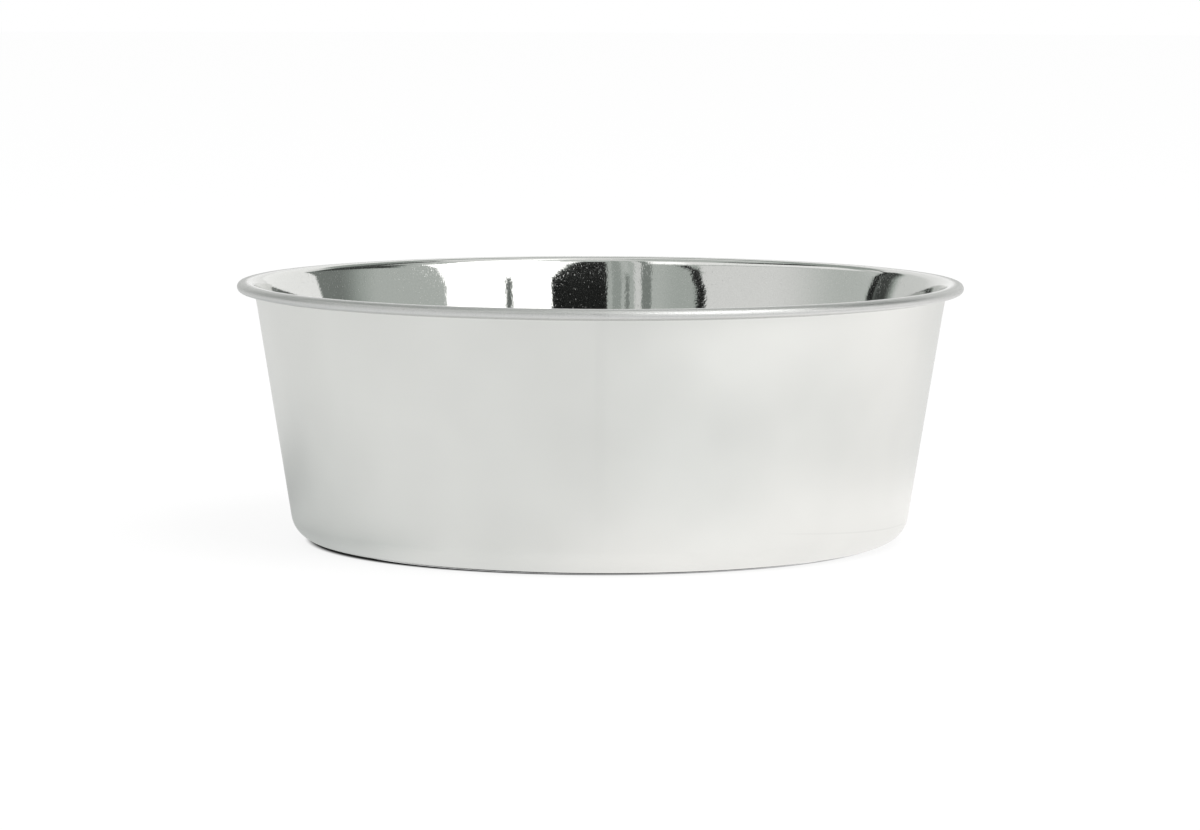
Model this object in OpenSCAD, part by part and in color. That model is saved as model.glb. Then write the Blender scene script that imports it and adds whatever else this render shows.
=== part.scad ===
// A feeding bowl pressed from one sheet of stainless steel, with a rolled rim and a rubber ring under its base.
// The origin is the centre of the surface that the bowl stands on, and +Z is up.

/* [Bowl] */
// Diameter across the rolled rim
rim_d = 216; // [150:1:300]
// Height of the pressing, from its foot plane to the crest of the rim
bowl_h = 76.5; // [45:0.5:130]
// Lean of the wall from upright, in degrees
wall_lean = 9.1; // [3:0.1:16]
// Thickness of the sheet
sheet_t = 0.7; // [0.5:0.05:1.1]
// Outside radius of the bend between the wall and the base
corner_r = 8; // [5:0.5:16]

/* [Rolled rim] */
// Reach of the rim past the line of the wall, at the height of the crest
lip_w = 4.9; // [4.4:0.1:8]
// Radius over the bend where the wall turns out into the rim
throat_r = 2.2; // [1.6:0.1:3.4]
// Outside radius of the nose of the roll
nose_r = 1.4; // [1.3:0.05:2]
// Fall of the rolled-under strip towards the wall, in degrees
tuck_lean = 12.5; // [4:0.5:20]
// Gap between the cut edge of the sheet and the wall
tuck_gap = 0.25; // [0.1:0.05:0.6]

/* [Base channel] */
// Flat land between the base corner and the channel
land_w = 0.6; // [0.2:0.1:3]
// Depth of the channel that holds the rubber ring
channel_d = 1.2; // [0.8:0.1:2]
// Width of the flat top of the channel
channel_w = 12.5; // [8:0.5:20]
// Radius of the channel's bends, at the middle of the sheet
step_r = 1.2; // [1.1:0.1:2]

/* [Base ring] */
// How far the ring stands out below the foot plane
ring_proud = 0.7; // [0.4:0.1:1.5]
// Thickness of the adhesive between the ring and the sheet
film_t = 0.2; // [0.1:0.05:0.4]
// Bare strip of the channel's flat top on each side of the adhesive
film_margin = 0.6; // [0.2:0.1:2]
// Clearance between the ring's top edges and the channel's bends
ring_gap = 0.25; // [0.15:0.05:0.4]
// Radius of the ring's lower edges
ring_edge_r = 0.4; // [0.2:0.05:0.6]

/* [Hidden] */
$fn = 144;
// Angle between the points of a bend
bend_step = 7.5;

// Heights of the foot plane, of the crest and of the channel's flat top
foot_z = ring_proud;
crest_z = foot_z + bowl_h;
channel_z = foot_z + channel_d;

// The wall: its outward direction and its outer radius, produced to the height of the crest
wall_out = [cos(wall_lean), -sin(wall_lean)];
wall_top = [rim_d / 2 - lip_w, crest_z];

// Centre of the corner bend, which touches the foot plane and the wall's outer line
corner_z = foot_z + corner_r;
corner_c = [wall_top.x - (crest_z - corner_z) * tan(wall_lean) - corner_r / cos(wall_lean), corner_z];

// Centres of the throat bend, which touches the wall's inner line, and of the nose
throat_z = crest_z - throat_r;
throat_x = wall_top.x - throat_r * tan(wall_lean) + (throat_r - sheet_t) / cos(wall_lean);
throat_c = [throat_x, throat_z];
nose_c = [rim_d / 2 - nose_r, crest_z - nose_r];

// The rolled-under strip: its downward direction and the line on which its cut edge lies
tuck_out = [sin(tuck_lean), -cos(tuck_lean)];
edge_at = wall_out * wall_top + tuck_gap;

// Bends of the channel: their angle, and their radii on the near and far side of the sheet
step_a = acos(1 - channel_d / (2 * step_r));
step_near_r = step_r - sheet_t / 2;
step_far_r = step_r + sheet_t / 2;
step_run = 2 * step_r * sin(step_a);

// Radii of the channel's flat top and of the two places where the sheet leaves the foot plane
land_in = corner_c.x - land_w;
channel_out = land_in - step_run;
channel_in = channel_out - channel_w;
panel_out = channel_in - step_run;
// Heights of the bends' centres
low_bend_z = foot_z + step_far_r;
high_bend_z = channel_z - step_near_r;

// The ring's top lies under the adhesive, and its sides clear the bends at that height
ring_top = channel_z - film_t;
ring_side = sqrt(pow(step_near_r, 2) - pow(ring_top - high_bend_z, 2)) - ring_gap;
ring_out = channel_out + ring_side;
ring_in = channel_in - ring_side;

// Points along a bend round c, from angle a to angle b
function bend(c, r, a, b) =
    let (n = ceil(abs(b - a) / bend_step))
    [for (i = [0:n]) c + r * [cos(a + (b - a) * i / n), sin(a + (b - a) * i / n)]];

// Where the lines p * u = d and p * v = e cross
function crossing(u, d, v, e) =
    [d * v.y - e * u.y, e * u.x - d * v.x] / (u.x * v.y - u.y * v.x);

// Corner of the cut edge, at the distance d from the centre of the nose
function cut_corner(d) = crossing(tuck_out, tuck_out * nose_c + d, wall_out, edge_at);

// The lower and outer face of the sheet, from the axis out to the cut edge
function outer_face() = concat(
    [[0, foot_z]],
    bend([panel_out, low_bend_z], step_far_r, -90, step_a - 90),
    bend([channel_in, high_bend_z], step_near_r, 90 + step_a, 90),
    bend([channel_out, high_bend_z], step_near_r, 90, 90 - step_a),
    bend([land_in, low_bend_z], step_far_r, -90 - step_a, -90),
    bend(corner_c, corner_r, -90, -wall_lean),
    bend(throat_c, throat_r - sheet_t, 180 - wall_lean, 90),
    bend(nose_c, nose_r - sheet_t, 90, tuck_lean - 90),
    [cut_corner(nose_r - sheet_t)]
);

// The upper and inner face of the sheet, from the cut edge back to the axis
function inner_face() = concat(
    [cut_corner(nose_r)],
    bend(nose_c, nose_r, tuck_lean - 90, 90),
    bend(throat_c, throat_r, 90, 180 - wall_lean),
    bend(corner_c, corner_r - sheet_t, -wall_lean, -90),
    bend([land_in, low_bend_z], step_near_r, -90, -90 - step_a),
    bend([channel_out, high_bend_z], step_far_r, 90 - step_a, 90),
    bend([channel_in, high_bend_z], step_far_r, 90, 90 + step_a),
    bend([panel_out, low_bend_z], step_near_r, step_a - 90, -90),
    [[0, foot_z + sheet_t]]
);

// The pressing: one sheet from the middle of the floor to the edge that is rolled under the rim
module bowl_shell() {
    color([0.80, 0.81, 0.80])
        rotate_extrude()
            polygon(concat(outer_face(), inner_face()));
}

// The adhesive between the channel's flat top and the ring
module bond_layer() {
    color([0.72, 0.68, 0.52])
        rotate_extrude()
            translate([channel_in + film_margin, ring_top])
                square([channel_w - 2 * film_margin, film_t]);
}

// The rubber ring, with its lower edges rounded
module base_ring() {
    color([0.09, 0.09, 0.09])
        rotate_extrude()
            polygon(concat(
                bend([ring_in + ring_edge_r, ring_edge_r], ring_edge_r, 180, 270),
                bend([ring_out - ring_edge_r, ring_edge_r], ring_edge_r, -90, 0),
                [[ring_out, ring_top], [ring_in, ring_top]]
            ));
}

bowl_shell();
bond_layer();
base_ring();
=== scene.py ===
# %% [markdown]
# # A stainless dog bowl
#
# The real bowl is one disc of stainless steel, pressed in a die to a cup with a leaning wall. Its rim is
# turned out over a small bend and rolled under, so that no cut edge is left to touch. A thin rubber ring,
# held by an adhesive in a channel that is pressed into the underside, stops it sliding. This lesson dresses
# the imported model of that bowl: it makes a fine mesh of the pressing and of the ring, gives them their
# finishes, and lights them so that the polished inside has something to mirror.

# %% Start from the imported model
import math

import bmesh
import bpy
from mathutils import Matrix, Vector, noise


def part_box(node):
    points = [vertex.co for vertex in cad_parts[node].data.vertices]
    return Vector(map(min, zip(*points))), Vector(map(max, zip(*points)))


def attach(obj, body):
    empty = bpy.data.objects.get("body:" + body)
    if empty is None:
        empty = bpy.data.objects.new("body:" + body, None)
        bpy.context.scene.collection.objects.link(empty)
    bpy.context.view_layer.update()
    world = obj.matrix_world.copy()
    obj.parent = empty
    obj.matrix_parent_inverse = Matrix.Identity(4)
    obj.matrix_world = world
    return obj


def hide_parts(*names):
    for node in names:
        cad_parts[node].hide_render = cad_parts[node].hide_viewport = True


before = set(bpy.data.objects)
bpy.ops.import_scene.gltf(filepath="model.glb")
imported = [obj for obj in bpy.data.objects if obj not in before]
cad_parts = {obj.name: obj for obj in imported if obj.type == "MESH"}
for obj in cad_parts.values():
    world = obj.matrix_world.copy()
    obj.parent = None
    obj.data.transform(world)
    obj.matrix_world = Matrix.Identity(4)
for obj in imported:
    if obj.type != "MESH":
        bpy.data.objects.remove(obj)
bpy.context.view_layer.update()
print("packed nodes:", sorted(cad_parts))

# %% [markdown]
# ## Sizes
#
# The frame gives the sizes that everything must meet: the reach of the rim, the height of its crest and the
# height of the pressing's foot. The smaller sizes belong to the pressing itself, so they have names here.
# All are in metres.

# %% Sizes of the pressing
MM = 0.001
shell_low, shell_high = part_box("bowl_shell")
rim_radius = shell_high.x
crest_height = shell_high.z
foot_height = shell_low.z
sheet_thickness = 0.7 * MM
channel_width = 12.5 * MM
wall_lean = math.radians(9.1)
print("rim radius", round(rim_radius / MM, 2), "mm, crest at", round(crest_height / MM, 2), "mm")

# %% [markdown]
# ## Shader maths as Python
#
# A material is a graph of nodes, and a graph is slow to read when each sum takes five lines. So one small
# class wraps a socket and lets Python's own signs add the Math nodes: `1 - mask * 0.3` is then the same
# graph in one line. Colours don't go through it, because a Math node would turn them grey.

# %% A socket that takes part in sums
class Wire:
    """The value that comes out of one socket."""

    def __init__(self, socket):
        self.socket = socket

    def math(self, operation, first, second):
        node = self.socket.id_data.nodes.new("ShaderNodeMath")
        node.operation = operation
        plug(first, node.inputs[0])
        plug(second, node.inputs[1])
        return Wire(node.outputs[0])

    def __add__(self, other):
        return self.math("ADD", self, other)

    def __sub__(self, other):
        return self.math("SUBTRACT", self, other)

    def __rsub__(self, other):
        return self.math("SUBTRACT", other, self)

    def __mul__(self, other):
        return self.math("MULTIPLY", self, other)

    __radd__ = __add__
    __rmul__ = __mul__


def plug(value, socket):
    """Links a wire to a socket, or sets the socket to a plain value."""
    if isinstance(value, Wire):
        socket.id_data.links.new(value.socket, socket)
    else:
        socket.default_value = value

# %% [markdown]
# Every other node comes from one method too. It takes the node's type, then its settings, which have to be
# set first because they decide which sockets the node has, and then what goes into those sockets. The few
# shapes that all finishes share, such as a soft step, a soft band or a mix of two colours, are short
# methods that call it.

# %% A graph that makes its nodes in one call each
class Graph:
    """The node tree of a material or of the world, emptied and ready to fill."""

    def __init__(self, owner):
        owner.use_nodes = True
        self.tree = owner.node_tree
        self.tree.nodes.clear()

    def node(self, kind, settings=None, inputs=None, output=None):
        """Adds a node and gives the wire of one of its outputs."""
        node = self.tree.nodes.new("ShaderNode" + kind)
        for name, value in (settings or {}).items():
            setattr(node, name, value)
        for name, value in (inputs or {}).items():
            plug(value, self.find(node.inputs, name))
        return Wire(self.find(node.outputs, output)) if node.outputs else None

    def find(self, sockets, name):
        """The socket with that number or name, or the first one in use if the name is None."""
        if isinstance(name, int):
            return sockets[name]
        return next(s for s in sockets if s.enabled and name in (None, s.name))

    def split(self, vector):
        """The x, y and z of a vector, each on a wire of its own."""
        parts = self.node("SeparateXYZ", inputs={"Vector": vector})
        return [Wire(socket) for socket in parts.socket.node.outputs]

    def ramp(self, value, low, high):
        """0 below low and 1 above high, with a smooth rise between."""
        settings = {"interpolation_type": "SMOOTHSTEP"}
        return self.node("MapRange", settings, {"Value": value, "From Min": low, "From Max": high})

    def band(self, value, low, high, soft):
        """1 between low and high, 0 outside, with edges that are soft wide."""
        rise = self.ramp(value, low - soft / 2, low + soft / 2)
        fall = self.ramp(value, high - soft / 2, high + soft / 2)
        return rise * (1 - fall)

    def noise(self, space, scale=1.0, detail=2.0):
        """A cloudy value round 0.5, with scale cells per metre of the space."""
        return self.node("TexNoise", inputs={"Vector": space, "Scale": scale, "Detail": detail})

    def distance(self, place, point):
        """How far a place is from a point."""
        return self.node("VectorMath", {"operation": "DISTANCE"}, {0: place, 1: point}, "Value")

    def mix(self, share, first, second):
        """The first colour where the share is 0 and the second where it is 1."""
        inputs = {"Factor": share, "A": first, "B": second}
        return self.node("Mix", {"data_type": "RGBA"}, inputs)

    def scale(self, colour, factor):
        """A colour times a number, which may be over 1 for light."""
        return self.node("VectorMath", {"operation": "SCALE"}, {0: colour, "Scale": factor})


def new_material(name):
    """An empty material and its graph."""
    material = bpy.data.materials.new(name)
    return material, Graph(material)

# %% [markdown]
# ## The camera
#
# The picture was taken with a long lens from a step or two away, looking down a little, so that the rim is
# a flat ellipse. The distance, height and tilt come from the ellipses of the rim and of the base, which can
# only have their measured sizes from one place. A very small roll lets the right end of the rim sit lower,
# as it does in the picture.

# %% Camera
sensor_width = 36.0
picture_width = 1200
focal_pixels = 5047.8
camera_distance = 1.5
camera_height = 188.84 * MM
camera_pitch = math.radians(5.777)
camera_roll = math.radians(0.187)

lens = bpy.data.cameras.new("camera")
lens.sensor_width = sensor_width
lens.lens = focal_pixels * sensor_width / picture_width
lens.clip_start = 0.1
lens.clip_end = 50
camera = bpy.data.objects.new("camera", lens)
look = Matrix.Rotation(math.pi / 2 - camera_pitch, 4, "X") @ Matrix.Rotation(camera_roll, 4, "Z")
camera.matrix_world = Matrix.Translation((0, -camera_distance, camera_height)) @ look
bpy.context.scene.collection.objects.link(camera)
bpy.context.scene.camera = camera
print("lens", round(lens.lens, 1), "mm")

# %% [markdown]
# ## The studio that the metal mirrors
#
# Polished steel has almost no colour of its own. What a picture shows in it is the room, so the room is
# half of the material. It could be built of panels and lamps, but a mirror only asks how bright the room is
# in each direction. So plain shapes are painted on the world: a white softbox to the right of the camera,
# the dark camera itself, grey walls, a dark stand and a white backdrop.
#
# Directions are in degrees: azimuth is 0 towards the camera and grows to the right, elevation is 0 at the
# horizon. Brightness is 1 where the room is as white as paper.

# %% Directions
world = bpy.data.worlds.new("studio")
bpy.context.scene.world = world
sky = Graph(world)

east, north, up = sky.split(sky.node("TexCoord", output="Generated"))
to_degrees = 180 / math.pi
azimuth = sky.node("Math", {"operation": "ARCTAN2"}, {0: east, 1: 0 - north}) * to_degrees
elevation = sky.node("Math", {"operation": "ARCSINE"}, {0: up}) * to_degrees
print("nodes for the directions:", len(sky.tree.nodes))

# %% [markdown]
# The bare room comes first: grey walls that go over to a pale ceiling, and a white backdrop behind the bowl
# with a grey curtain above it.

# %% Bare room
WALL = 0.62
UPPER_WALL = 0.64
CEILING = 0.9
BACKDROP = 0.97
CURTAIN = 0.42
BACKDROP_EDGE = 119
level = sky.ramp(elevation, 8, 40) * (UPPER_WALL - WALL) + WALL
level = level + sky.ramp(elevation, 50, 62) * (CEILING - UPPER_WALL)
behind = 1 - sky.band(azimuth, -BACKDROP_EDGE, BACKDROP_EDGE, 6)
backdrop = BACKDROP - sky.band(elevation, 36, 58, 6) * (BACKDROP - CURTAIN)
level = level * (1 - behind) + behind * backdrop
print("nodes for the bare room:", len(sky.tree.nodes))

# %% [markdown]
# Then each thing in the room is laid over what is already there, like a paper cut-out, so a later line of
# the list covers an earlier one. Most of them stand upright. Of the few that lean, the list gives the place
# at eye level.

# %% What stands round the bowl
EYE_LEVEL = 14
TOP_SOFTNESS = 2
# Azimuth from and to, elevation from and to, softness of the left and right edges, how far the thing leans
# sideways for each degree of elevation, and brightness. All top and bottom edges are equally soft.
STUDIO = [
    ("right wall", 57, 92, -25, 24, 1.0, 0.0, 0.59),
    ("dark door", 94, 150, -25, 21, 20.0, 0.0, 0.24),
    ("beam over the door", 78, 124, 20, 38, 12.0, 0.0, 0.05),
    ("lintel of the door", 96, 124, 36, 62, 5.0, 0.0, 0.1),
    ("card behind the door", 121.2, 166, -25, 38, 1.5, 1.0, 1.12),
    ("softbox", 16.5, 56.3, -25, 50, 0.6, 0.0, 2.1),
    ("softbox's bright top", 33, 58, 20, 44, 10.0, 0.0, 6.0),
    ("lamp over the softbox", 32, 64, 50, 86, 6.0, 0.0, 2.0),
    ("softbox's turned edge", 50, 57.3, 12, 28, 1.6, 0.8, 2.4),
    ("softbox frame", 31.5, 33.9, -25, 21, 1.2, 0.0, 0.16),
    ("camera", -2.4, 17.4, -25, 34, 0.4, 0.0, 0.012),
    ("softbox's lower corner", 19.6, 60, 16, 20, 1.0, -1.2, 2.4),
    ("softbox's upper corner", 14.6, 28, 19, 37, 4.0, -0.32, 2.0),
    ("bar 1", -4.1, -2.4, -25, 46, 0.4, 0.0, 0.57),
    ("bar 2", -7.4, -4.1, -25, 46, 0.4, 0.0, 0.41),
    ("bar 3", -8.7, -7.4, -25, 46, 0.5, 0.0, 0.6),
    ("bar 4", -10.2, -8.7, -25, 17, 0.5, 0.0, 0.27),
    ("bar 5", -12, -10.2, -25, 46, 0.8, 0.0, 0.54),
    ("bar 6", -14.6, -12, -25, 46, 0.8, 0.0, 0.84),
    ("bar 7", -18.1, -14.6, -25, 46, 0.5, 0.0, 0.27),
    ("left wall", -36, -18.1, -25, 23, 0.4, 0.0, 0.6),
    ("far part of the left wall", -40, -24, -25, 23, 9.0, 0.0, 0.52),
    ("left card", -112, -36, -25, 23, 1.5, 0.0, 0.9),
    ("far side of the card", -116, -78, -25, 23, 34.0, 0.0, 0.64),
    ("foot of the stand", -36.9, -33.7, -25, 14.5, 0.3, 0.9, 0.012),
    ("stand", -36.9, -33.6, 13.5, 18.6, 0.3, 0.3, 0.012),
    ("arm of the stand", -43.9, -40.9, 17.4, 20.6, 0.3, 2.1, 0.015),
    ("knot on the arm", -32.5, -29.8, 19, 22, 0.6, 0.0, 0.015),
    ("window", -112, -18.5, 25, 46, 1.5, 0.0, 1.1),
    ("bright edge of the window", -32, -18.5, 25, 46, 6.0, 0.0, 1.6),
    ("window frame", -118, -58, 45, 57, 18.0, 0.0, 0.02),
    ("dark part of the ceiling", -135, -22, 57, 93, 12.0, 0.0, 0.62),
    ("slot's far wall", -150, -118, -25, 28, 14.0, 0.0, 0.8),
    ("slot's lit side", -127.5, -114.5, -25, 30, 9.0, -0.9, 0.06),
    ("slot", -116.5, -112.8, -25, 38, 0.8, -0.9, 0.015),
]
for name, left, right, low, high, soft, lean, brightness in STUDIO:
    across = azimuth - (elevation - EYE_LEVEL) * lean if lean else azimuth
    shape = sky.band(across, left, right, soft) * sky.band(elevation, low, high, TOP_SOFTNESS)
    level = level * (1 - shape) + shape * brightness
print("studio shapes:", len(STUDIO))

# %% [markdown]
# The grey parts of the room are slightly green, and what is bright in it is neutral. Only glossy rays see
# the room. The camera sees plain white, and matt surfaces get even light.

# %% World
GREENISH = (0.915, 1.0, 0.935, 1)
NEUTRAL = (1.0, 1.0, 0.99, 1)
WHITE = (1, 1, 1, 1)
room = sky.scale(sky.mix(sky.ramp(level, 0.35, 0.95), GREENISH, NEUTRAL), level)
mirrored = sky.node("Background", inputs={"Color": room, "Strength": 1.0})
even_light = sky.node("Background", inputs={"Color": WHITE, "Strength": 0.85})
seen_white = sky.node("Background", inputs={"Color": WHITE, "Strength": 1.0})
is_glossy = sky.node("LightPath", output="Is Glossy Ray")
is_camera = sky.node("LightPath", output="Is Camera Ray")
lit = sky.node("MixShader", inputs={0: is_glossy, 1: even_light, 2: mirrored})
shown = sky.node("MixShader", inputs={0: is_camera, 1: lit, 2: seen_white})
sky.node("OutputWorld", inputs={"Surface": shown})
print("world nodes:", len(sky.tree.nodes))

# %% [markdown]
# ## The table
#
# The bowl stands on a plain white table. Its mesh is a wide flat ring. The hole lies just outside the foot
# of the bowl, where the table and the underside of the rubber would share one plane, and a view from below
# looks through it at the underside.

# %% Table mesh
def new_object(name, shape):
    """Makes a finished bmesh an object of the scene, at the origin."""
    mesh = bpy.data.meshes.new(name)
    shape.to_mesh(mesh)
    shape.free()
    made = bpy.data.objects.new(name, mesh)
    bpy.context.scene.collection.objects.link(made)
    return made


table_radius = 6.0
hole_radius = 81.75 * MM
table_top = bmesh.new()
bmesh.ops.create_circle(table_top, segments=256, radius=hole_radius)
outside = bmesh.ops.extrude_edge_only(table_top, edges=table_top.edges[:])["geom"]
outside = [part for part in outside if isinstance(part, bmesh.types.BMVert)]
bmesh.ops.scale(table_top, vec=(table_radius / hole_radius,) * 3, verts=outside)
bmesh.ops.recalc_face_normals(table_top, faces=table_top.faces)
if table_top.faces[:][0].normal.z < 0:
    bmesh.ops.reverse_faces(table_top, faces=table_top.faces)
floor = new_object("floor", table_top)
print("table faces:", len(floor.data.polygons))

# %% [markdown]
# The satin wall of the bowl is a soft picture of the table round it, so the table's glow is painted with
# light and shade: a painted pool of light on its right side from the softbox, painted shade on its left
# side from the bowl, and a painted shadow under the edge of the bowl. Only glossy rays see the bright and
# dim sides, and the camera sees an even white. The two numbers of each ramp are metres from the bowl's
# axis, and each factor is a part of paper white.

# %% Brightness of the table
TABLE_WHITE = 1.05
SHADOW_MIDDLE = (-0.002, 0.0015, 0)
SHADOW_RADIUS = 0.0835
SHADOW_EDGE = 0.003
# Where a soft dim spot lies, how far it reaches and how much it takes away
DIM_SPOTS = [
    ((-0.15, 0.085, 0), 0.095, 0.38),
    ((0.195, -0.08, 0), 0.075, 0.2),
    ((0.105, -0.14, 0), 0.07, 0.16),
    ((0.06, -0.2, 0), 0.09, 0.1),
]
table, graph = new_material("white_table")
camera_ray = graph.node("LightPath", output="Is Camera Ray")
glossy_ray = graph.node("LightPath", output="Is Glossy Ray")
place = graph.node("TexCoord", output="Object")
right, back, _ = graph.split(place)
away = graph.node("VectorMath", {"operation": "LENGTH"}, {0: place}, "Value")

# Painted pools of light and painted shade on the table's glow, which only glossy rays see
lit_ring = graph.ramp(right, 0.05, 0.11) * graph.band(away, 0.105, 0.16, 0.05)
lit_right = graph.ramp(right, 0.15, 0.34) * (1 - graph.ramp(back, 0.0, 0.36))
lit_foot = graph.band(right, -0.01, 0.1, 0.06) * (1 - graph.ramp(away, 0.11, 0.15))
lit_front = graph.ramp(right, 0.1, 0.2) * graph.ramp(0 - back, 0.18, 0.3)
table_painted_light = lit_ring * 0.37 + lit_right * 0.5 + lit_foot * 0.2 + lit_front * 0.3

left = 0 - right
dim_back = graph.ramp(left, 0.05, 0.12) * graph.ramp(back, -0.1, 0.0) * (1 - graph.ramp(away, 0.11, 0.25))
dim_foot = graph.ramp(left, 0.05, 0.085) * (1 - graph.ramp(away, 0.1, 0.12))
table_painted_shade = dim_back * 0.18 + dim_foot * 0.25
for spot, reach, dimming in DIM_SPOTS:
    table_painted_shade = table_painted_shade + (1 - graph.ramp(graph.distance(place, spot), reach * 0.3, reach)) * dimming

# Painted shadow: the table's glow goes dark under the edge of the bowl
from_middle = graph.distance(place, SHADOW_MIDDLE)
clear_of_painted_shadow = graph.ramp(from_middle, SHADOW_RADIUS, SHADOW_RADIUS + SHADOW_EDGE)
brightness = ((table_painted_light - table_painted_shade) * glossy_ray + TABLE_WHITE) * clear_of_painted_shadow
print("nodes for the brightness:", len(graph.tree.nodes))

# %% [markdown]
# The table's own surface is a pale grey that takes the bowl's soft shadow. For the camera and for glossy
# rays most of it is replaced by the light worked out above, so that the background is white while a part of
# the shadow stays. Seen from below the table is clear.

# %% Table finish
PALE_GREY = (0.86, 0.86, 0.86, 1)
# Tints of the painted light and shade: greener where the glow is dim, warmer where it is bright
SHADED_PAPER = (0.968, 1.0, 0.998, 1)
LIT_PAPER = (1.018, 1.0, 0.998, 1)
SHARE_FOR_CAMERA = 0.8
SHARE_FOR_MIRROR = 0.85
paper = graph.mix(graph.ramp(brightness, 0.7, 1.35), SHADED_PAPER, LIT_PAPER)
light = graph.scale(graph.mix(glossy_ray, WHITE, paper), brightness)
matt = graph.node("BsdfDiffuse", inputs={"Color": PALE_GREY})
glow = graph.node("Emission", inputs={"Color": light, "Strength": 1.0})
own_light = camera_ray * SHARE_FOR_CAMERA + glossy_ray * SHARE_FOR_MIRROR
top = graph.node("MixShader", inputs={0: own_light, 1: matt, 2: glow})
clear = graph.node("BsdfTransparent")
seen_below = graph.node("NewGeometry", output="Backfacing")
surface = graph.node("MixShader", inputs={0: seen_below, 1: top, 2: clear})
graph.node("OutputMaterial", inputs={"Surface": surface})
floor.data.materials.append(table)
print("table finish:", len(graph.tree.nodes), "nodes")

# %% [markdown]
# ## The lamp
#
# One large soft lamp from the upper right gives the rubber its light and the table its shadow. The steel
# doesn't mirror it, because the painted softbox is already there.

# %% Lamp
lamp_place = Vector((0.9, -0.9, 1.9))
key = bpy.data.lights.new("soft_key", "AREA")
key.size = 1.6
key.energy = 22
lamp = bpy.data.objects.new("soft_key", key)
lamp.location = lamp_place
lamp.rotation_euler = lamp_place.to_track_quat("Z", "Y").to_euler()
lamp.visible_glossy = False
bpy.context.scene.collection.objects.link(lamp)
bpy.context.scene.view_settings.view_transform = "Standard"
print("lamp at", round(lamp_place.length, 2), "m")

# %% [markdown]
# ## The bent sheet
#
# A press doesn't place points: it pushes straight stretches and bends into a flat sheet. The same two moves
# draw the section here. A straight run extrudes the last vertex, and a bend spins it round the centre of
# the bend. So each bend is a true arc, tangent to its neighbours, which matters on a mirror: a kink of half
# a degree would show.

# %% A line that is drawn by running and bending
class BendLine:
    """A chain of edges in the XZ plane that grows from its tip."""

    def __init__(self, bm, x, z):
        self.bm = bm
        self.tip = bm.verts.new((x, 0, z))
        self.heading = 0.0

    def run(self, length, rows):
        """Goes straight on for a length, in rows equal steps."""
        step = Vector((math.cos(self.heading), 0, math.sin(self.heading))) * (length / rows)
        for _ in range(rows):
            new = bmesh.ops.extrude_vert_indiv(self.bm, verts=[self.tip])["verts"]
            bmesh.ops.translate(self.bm, verts=new, vec=step)
            self.tip = new[0]

    def bend(self, angle, radius, rows):
        """Turns by an angle, up if it is positive, on an arc of that radius."""
        up = math.copysign(1, angle)
        side = Vector((-math.sin(self.heading), 0, math.cos(self.heading))) * up
        arc = bmesh.ops.spin(
            self.bm, geom=[self.tip], cent=self.tip.co + side * radius,
            axis=(0, -up, 0), angle=abs(angle), steps=rows, use_duplicate=False,
        )
        self.tip = next(e for e in arc["geom_last"] if isinstance(e, bmesh.types.BMVert))
        self.heading += angle

# %% [markdown]
# The line is the polished face of the sheet, so the radii are those of that face. Near the top the wall
# flares by a few degrees before it turns over the throat into the rim. The strip under the rim ends in a
# small curl, which brings the cut face of the sheet flat against the wall.

# %% Sizes of the section
right_angle = math.pi / 2
corner_radius = 8.0 * MM - sheet_thickness
throat_radius = 2.2 * MM
nose_radius = 1.4 * MM
top_run = 1.95 * MM
tuck_lean = math.radians(12.5)
tuck_run = 2.95 * MM
curl_radius = 3.0 * MM
step_angle = math.radians(60)
step_radius = 1.2 * MM
tight = step_radius - sheet_thickness / 2
wide = step_radius + sheet_thickness / 2
land_width = 0.6 * MM
flare_lean = wall_lean + math.radians(3)
flare_radius = 120 * MM
lead_lean = wall_lean + math.radians(8)
lead_radius = 14 * MM
floor_top = foot_height + sheet_thickness


def climb(radius, lean, new_lean):
    """Height that a bend of that radius gains while the wall's lean changes."""
    return radius * (math.sin(new_lean) - math.sin(lean))


straight_rise = crest_height - floor_top - climb(-corner_radius, right_angle, wall_lean)
straight_rise -= climb(flare_radius, wall_lean, flare_lean) + climb(lead_radius, flare_lean, lead_lean)
straight_rise -= climb(throat_radius, lead_lean, right_angle)
print("straight part of the wall rises", round(straight_rise / MM, 2), "mm")

# %% [markdown]
# The line runs over the channel's two steps, round the base corner, up the wall and over the rim. It is
# drawn from the channel outwards and then slid sideways until its nose has the rim's radius, and the floor
# is drawn back to the axis last. So nobody has to work out where it starts. The last number of each move is
# its rows of faces.

# %% Section of the pressing
pressing = bmesh.new()
line = BendLine(pressing, 0, floor_top)
start = line.tip
line.bend(step_angle, tight, 5)
line.bend(-step_angle, wide, 5)
line.run(channel_width, 4)
line.bend(-step_angle, wide, 5)
line.bend(step_angle, tight, 5)
line.run(land_width, 1)
line.bend(right_angle - wall_lean, corner_radius, 12)
line.run(straight_rise / math.cos(wall_lean), 32)
line.bend(wall_lean - flare_lean, flare_radius, 5)
line.bend(flare_lean - lead_lean, lead_radius, 4)
line.bend(lead_lean - right_angle, throat_radius, 12)
line.run(top_run, 2)
line.bend(tuck_lean - 2 * right_angle, nose_radius, 18)
line.run(tuck_run, 3)
line.bend(-tuck_lean - wall_lean, curl_radius, 4)

reach = max(v.co.x for v in pressing.verts)
bmesh.ops.translate(pressing, verts=pressing.verts, vec=(rim_radius - reach, 0, 0))
line.tip = start
line.heading = math.pi
line.run(start.co.x, 12)
print("section:", len(pressing.verts), "points, crest", round(max(v.co.z for v in pressing.verts) / MM, 3))

# %% [markdown]
# A full spin round the upright axis turns the line into the bowl. The spin merges its first and last rows,
# and the points on the axis are merged by hand.

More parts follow.
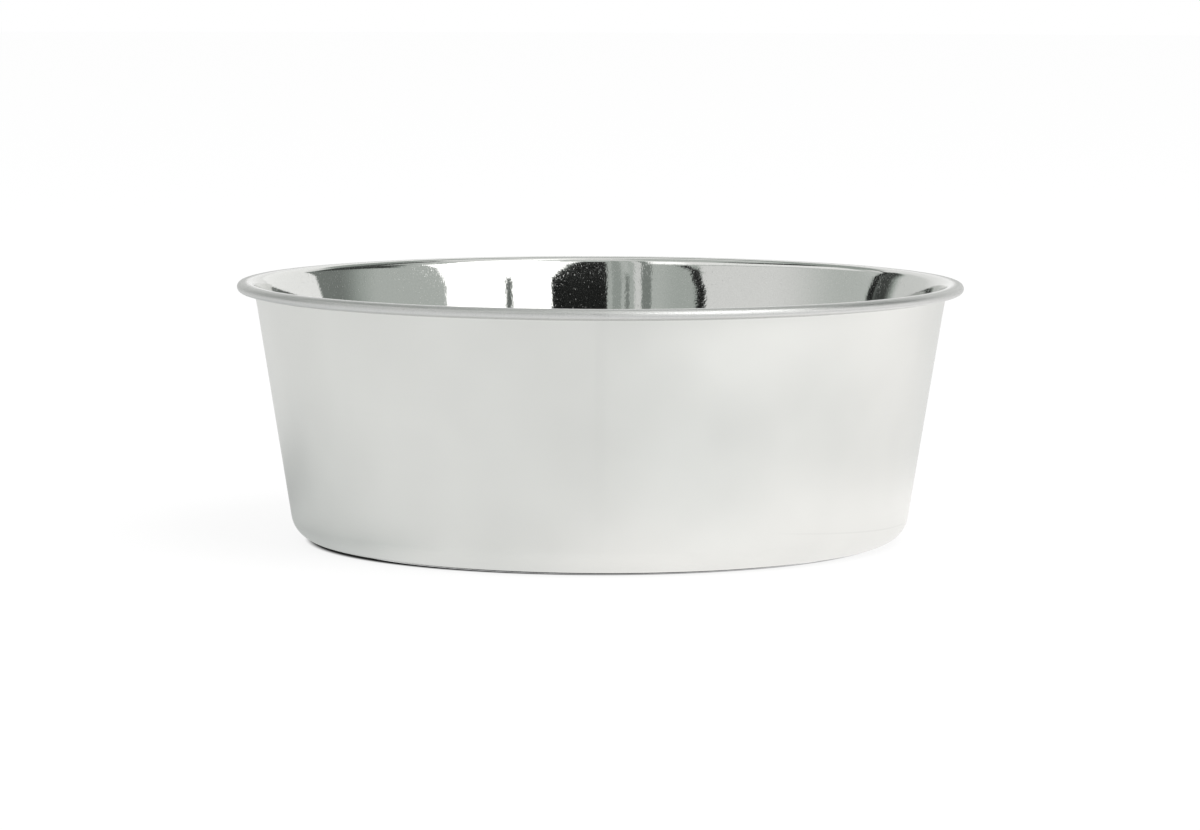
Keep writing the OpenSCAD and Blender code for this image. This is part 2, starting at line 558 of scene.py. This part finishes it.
# %% Spin
steps_round = 320
bmesh.ops.spin(
    pressing, geom=pressing.verts[:] + pressing.edges[:], cent=(0, 0, 0), axis=(0, 0, 1),
    angle=2 * math.pi, steps=steps_round, use_merge=True, use_duplicate=False,
)
bmesh.ops.remove_doubles(pressing, verts=pressing.verts, dist=0.002 * MM)
bmesh.ops.recalc_face_normals(pressing, faces=pressing.faces)
middle = min(pressing.faces, key=lambda f: f.calc_center_median().length)
if middle.normal.z < 0:
    bmesh.ops.reverse_faces(pressing, faces=pressing.faces)
print("faces of one side:", len(pressing.faces))

# %% [markdown]
# Real pressings are never perfect: the steel is drawn in unevenly and keeps waves a few hundredths of a
# millimetre high. Nobody sees them, but everybody sees what they do to a mirror image, so the surface gets
# them before it gets its thickness.

# %% Waves and thickness
wave_height = 0.025 * MM
wave_length = 18 * MM
wrinkle_height = 0.022 * MM
wrinkle_length = 9 * MM
wrinkle_middle = crest_height - 3 * MM
wrinkle_reach = 10 * MM


def wander(point):
    """How far the drawn sheet stands off its true form at a point."""
    wave = wave_height * noise.noise(point / wave_length)
    close = max(0.0, 1 - abs(wrinkle_middle - point.z) / wrinkle_reach)
    return wave + wrinkle_height * close * close * noise.noise(point / wrinkle_length)


moves = [(v, v.normal * wander(v.co)) for v in pressing.verts]
for v, move in moves:
    v.co += move

polished_faces = set(pressing.faces)
bmesh.ops.solidify(pressing, geom=pressing.faces[:], thickness=sheet_thickness)
for face in pressing.faces:
    face.smooth = True
    face.material_index = 0 if face in polished_faces else 1
lowest = min(v.co.z for v in pressing.verts)
highest = max(v.co.z for v in pressing.verts)
print("pressing from", round(lowest / MM, 3), "to", round(highest / MM, 3), "mm high")
print("faces of the pressing:", len(pressing.faces))

bowl = new_object("pressed_bowl", pressing)
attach(bowl, "root")
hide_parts("bowl_shell")

# %% [markdown]
# ## Where a finish lies
#
# Both finishes of the bowl need to know how far a point is from the axis, and a coordinate that runs along
# the section. Radius plus height grows on the floor, up the wall and over the rim, so one noise that is
# long round the bowl and fine along that coordinate gives the marks of a polishing wheel everywhere, with
# no seam.

# %% Coordinates of the pressing
class BowlPlace:
    """Radius, height and two stretched spaces for a material of the bowl."""

    def __init__(self, graph):
        self.graph = graph
        self.spot = graph.node("TexCoord", output="Object")
        self.x, self.y, self.height = graph.split(self.spot)
        flat = graph.node("CombineXYZ", inputs={"X": self.x, "Y": self.y})
        self.radius = graph.node("VectorMath", {"operation": "LENGTH"}, {0: flat}, "Value")

    def turned(self, along, across):
        """Space that stretches a noise round the bowl: cells per metre round it and across the marks."""
        return self.graph.node("CombineXYZ", inputs={
            "X": self.x * along, "Y": self.y * along, "Z": (self.radius + self.height) * across,
        })

    def drawn(self, across, along):
        """Space that stretches a noise up the wall: cells per metre across the marks and along them."""
        return self.graph.node("CombineXYZ", inputs={
            "X": self.x * across, "Y": self.y * across, "Z": self.height * along,
        })

# %% [markdown]
# ## Polished inside
#
# The inside is buffed to a mirror. Close up, such a mirror isn't smooth: stretching the steel raises its
# grain like orange peel, and the wheel and the die leave fine lines. So the edges of all that it mirrors
# are frayed, most of all near the bend of the rim.

# %% Relief of the mirror
mirror, graph = new_material("polished_steel")
place = BowlPlace(graph)
near_rim = graph.ramp(place.height, crest_height - 11 * MM, crest_height - 4 * MM)
peel = graph.noise(place.spot, 1150.0, 1.0)
grain = graph.noise(place.spot, 3300.0, 1.0)
wheel = graph.noise(place.turned(60, 2600))
draw_lines = graph.noise(place.drawn(2600, 500))
relief = peel * 0.5 + grain * 0.08 + wheel * 0.1 + draw_lines * near_rim * 0.3
bump = graph.node("Bump", inputs={"Strength": 1.0, "Distance": 0.01 * MM, "Height": relief})
print("nodes for the relief:", len(graph.tree.nodes))

# %% [markdown]
# The buffing runs over the rim, where it is duller because the rolling comes after it, and the floor inside
# keeps more of the wheel's marks than the wall. Small pits and short scratches catch the light.

# %% Roughness of the mirror
below_crest = crest_height - place.height
rolled = graph.ramp(place.radius, rim_radius - 3.8 * MM, rim_radius - 1.8 * MM)
tucked = graph.ramp(below_crest, 1.6 * MM, 2.6 * MM) * rolled
inner_floor = 1 - graph.ramp(place.height, 3 * MM, 9 * MM)
cells = graph.node("TexVoronoi", inputs={"Vector": place.spot, "Scale": 330.0})
pit = graph.ramp(0.07 - cells, 0.0, 0.03)
hairs = graph.noise(place.drawn(3600, 900))
scratch = graph.ramp(hairs + near_rim * 0.05, 0.68, 0.72)
marks = rolled * 0.41 + inner_floor * (wheel * 0.16 + 0.04) + wheel * 0.02
roughness = 0.03 + marks + tucked * 0.04 + pit * 0.2 + scratch * 0.25
print("nodes with the roughness:", len(graph.tree.nodes))

# %% [markdown]
# The colour of steel is in its reflections, so it hardly changes: darker on the rolled rim, with painted
# light on the strip under the rim and where the strip closes on the wall, which lightens the shade that falls
# there, and with faint rings where the wheel turned on the floor. A fine haze of raised grain takes a few
# parts in a hundred of the mirror image.

# %% Colour of the mirror
BLACK = (0, 0, 0, 1)
BUFFED_STEEL = (0.69, 0.695, 0.68, 1)
ROLLED_STEEL = (0.58, 0.585, 0.575, 1)
# Painted light: lighter steel on the strip under the rim, which lightens the shade it mirrors
TUCKED_STEEL_PAINTED_LIGHT = (0.68, 0.685, 0.675, 1)
# Painted light: near white steel where the strip closes on the wall, which lightens the shade of that crevice
SEAM_PAINTED_LIGHT = (0.92, 0.925, 0.91, 1)
seam_painted_light_mask = graph.ramp(below_crest, 3.1 * MM, 3.4 * MM) * rolled
rings = graph.ramp(graph.noise(place.turned(7, 800), 1.0, 1.0), 0.35, 0.65) * inner_floor
speckle = graph.ramp(graph.noise(place.spot, 2600.0, 1.0), 0.3, 0.7)
colour = graph.mix(rolled, BUFFED_STEEL, ROLLED_STEEL)
# Painted light on the strip under the rim
colour = graph.mix(tucked, colour, TUCKED_STEEL_PAINTED_LIGHT)
# Painted light at the seam under the rim
colour = graph.mix(seam_painted_light_mask, colour, SEAM_PAINTED_LIGHT)
colour = graph.mix((speckle + rings) * 0.07, colour, BLACK)
steel = graph.node("BsdfPrincipled", inputs={
    "Base Color": colour, "Metallic": 1.0, "Roughness": roughness, "Normal": bump,
})
raised = graph.node("BsdfPrincipled", inputs={"Base Color": colour, "Metallic": 1.0, "Roughness": 0.5})
haze = (1 - speckle) * (0.03 + near_rim * 0.04)
hazy = graph.node("MixShader", inputs={0: haze, 1: steel, 2: raised})
graph.node("OutputMaterial", inputs={"Surface": hazy})
bowl.data.materials.append(mirror)
print("mirror finish:", len(graph.tree.nodes), "nodes")

# %% [markdown]
# ## Satin outside
#
# The outside keeps the soft sheen of the brushed sheet. It scatters what it mirrors so widely that the wall
# shows only where the table is brighter or darker. A little above the base corner, on the right, there is
# one fine scuff line from standing in a pile.

# %% Satin finish
DULL_SATIN = (0.631, 0.635, 0.615, 1)
CLEAR_SATIN = (0.75, 0.755, 0.732, 1)
# Painted light: the satin near the rim is lighter, which lightens the shade under the rim
UNDER_RIM_PAINTED_LIGHT = (0.78, 0.785, 0.77, 1)
satin, graph = new_material("satin_steel")
place = BowlPlace(graph)
brush = graph.noise(place.turned(40, 5200), 1.0, 3.0)
cloud = graph.noise(place.spot, 28.0, 2.0)
bump = graph.node("Bump", inputs={"Strength": 1.0, "Distance": 0.0012 * MM, "Height": brush})
roughness = 0.32 + brush * 0.08 + cloud * 0.08

scuff_slope = 0.1
in_front = 1 - graph.ramp(place.y, -20 * MM, 0)
on_right = graph.band(place.x, 55 * MM, 92 * MM, 15 * MM)
fine_line = graph.band(place.height + place.x * scuff_slope, 16.1 * MM, 16.5 * MM, 0.3 * MM)
scuff = fine_line * on_right * in_front
# Painted light just under the rim, where the rim shades the wall
under_rim_painted_light = graph.ramp(place.height, crest_height - 3.8 * MM, crest_height - 3.4 * MM)
colour = graph.mix(cloud * (1 - scuff * 0.6), DULL_SATIN, CLEAR_SATIN)
colour = graph.mix(under_rim_painted_light, colour, UNDER_RIM_PAINTED_LIGHT)
steel = graph.node("BsdfPrincipled", inputs={
    "Base Color": colour, "Metallic": 1.0, "Roughness": roughness, "Normal": bump,
})
graph.node("OutputMaterial", inputs={"Surface": steel})
bowl.data.materials.append(satin)
print("satin finish:", len(graph.tree.nodes), "nodes")

# %% [markdown]
# ## The rubber ring
#
# The ring is a flat rubber band with its two lower edges rounded by the mould. It is a little wider than
# the flat top of the channel, because the channel's bends leave it room. Its section starts as four points,
# the two lower ones are bevelled to arcs, and a full spin closes it.

# %% Ring
ring_low, ring_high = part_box("base_ring")
ring_shoulder = 0.298 * MM
ring_edge = 0.4 * MM
crease_angle = math.radians(40)
outer = ring_high.x
inner = outer - channel_width - 2 * ring_shoulder

ring = bmesh.new()
section = ((inner, ring_low.z), (outer, ring_low.z), (outer, ring_high.z), (inner, ring_high.z))
corners = [ring.verts.new((x, 0, z)) for x, z in section]
for i in range(len(corners)):
    ring.edges.new((corners[i - 1], corners[i]))
bmesh.ops.bevel(
    ring, geom=corners[:2], offset=ring_edge, segments=6, profile=0.5,
    affect="VERTICES", material=-1,
)
bmesh.ops.subdivide_edges(ring, edges=[e for e in ring.edges if e.calc_length() > 5 * MM], cuts=5)
bmesh.ops.spin(
    ring, geom=ring.verts[:] + ring.edges[:], cent=(0, 0, 0), axis=(0, 0, 1),
    angle=2 * math.pi, steps=256, use_merge=True, use_duplicate=False,
)
bmesh.ops.remove_doubles(ring, verts=ring.verts, dist=0.001 * MM)
bmesh.ops.recalc_face_normals(ring, faces=ring.faces)
for face in ring.faces:
    face.smooth = True
for edge in ring.edges:
    edge.smooth = edge.calc_face_angle(0) < crease_angle
print("ring faces:", len(ring.faces))

ring_object = new_object("rubber_ring", ring)
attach(ring_object, "root")
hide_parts("base_ring")

# %% [markdown]
# Moulded rubber is nearly black and matt, with a fine grain from the mould, and it picks up pale dust.

# %% Rubber finish
CLEAN_RUBBER = (0.012, 0.012, 0.013, 1)
DUSTY_RUBBER = (0.05, 0.048, 0.045, 1)
rubber, graph = new_material("black_rubber")
spot = graph.node("TexCoord", output="Object")
skin = graph.noise(spot, 2500.0, 3.0)
dust = graph.ramp(graph.noise(spot, 160.0, 4.0), 0.5, 0.75)
bump = graph.node("Bump", inputs={"Strength": 1.0, "Distance": 0.03 * MM, "Height": skin})
colour = graph.mix(dust * 0.35, CLEAN_RUBBER, DUSTY_RUBBER)
body = graph.node("BsdfPrincipled", inputs={
    "Base Color": colour, "Roughness": 0.62 + skin * 0.2, "Specular IOR Level": 0.3, "Normal": bump,
})
graph.node("OutputMaterial", inputs={"Surface": body})
ring_object.data.materials.append(rubber)
print("rubber finish:", len(graph.tree.nodes), "nodes")

# %% [markdown]
# ## The adhesive
#
# The adhesive is hidden between the ring and the channel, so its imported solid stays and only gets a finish:
# a cloudy yellowish film.

# %% Adhesive
THIN_FILM = (0.52, 0.47, 0.3, 1)
THICK_FILM = (0.6, 0.56, 0.4, 1)
adhesive, graph = new_material("cured_adhesive")
swirl = graph.noise(graph.node("TexCoord", output="Object"), 300.0, 3.0)
film = graph.node("BsdfPrincipled", inputs={
    "Base Color": graph.mix(swirl, THIN_FILM, THICK_FILM), "Roughness": 0.5,
})
graph.node("OutputMaterial", inputs={"Surface": film})
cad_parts["bond_layer"].material_slots[0].material = adhesive
print("adhesive finish:", len(graph.tree.nodes), "nodes")
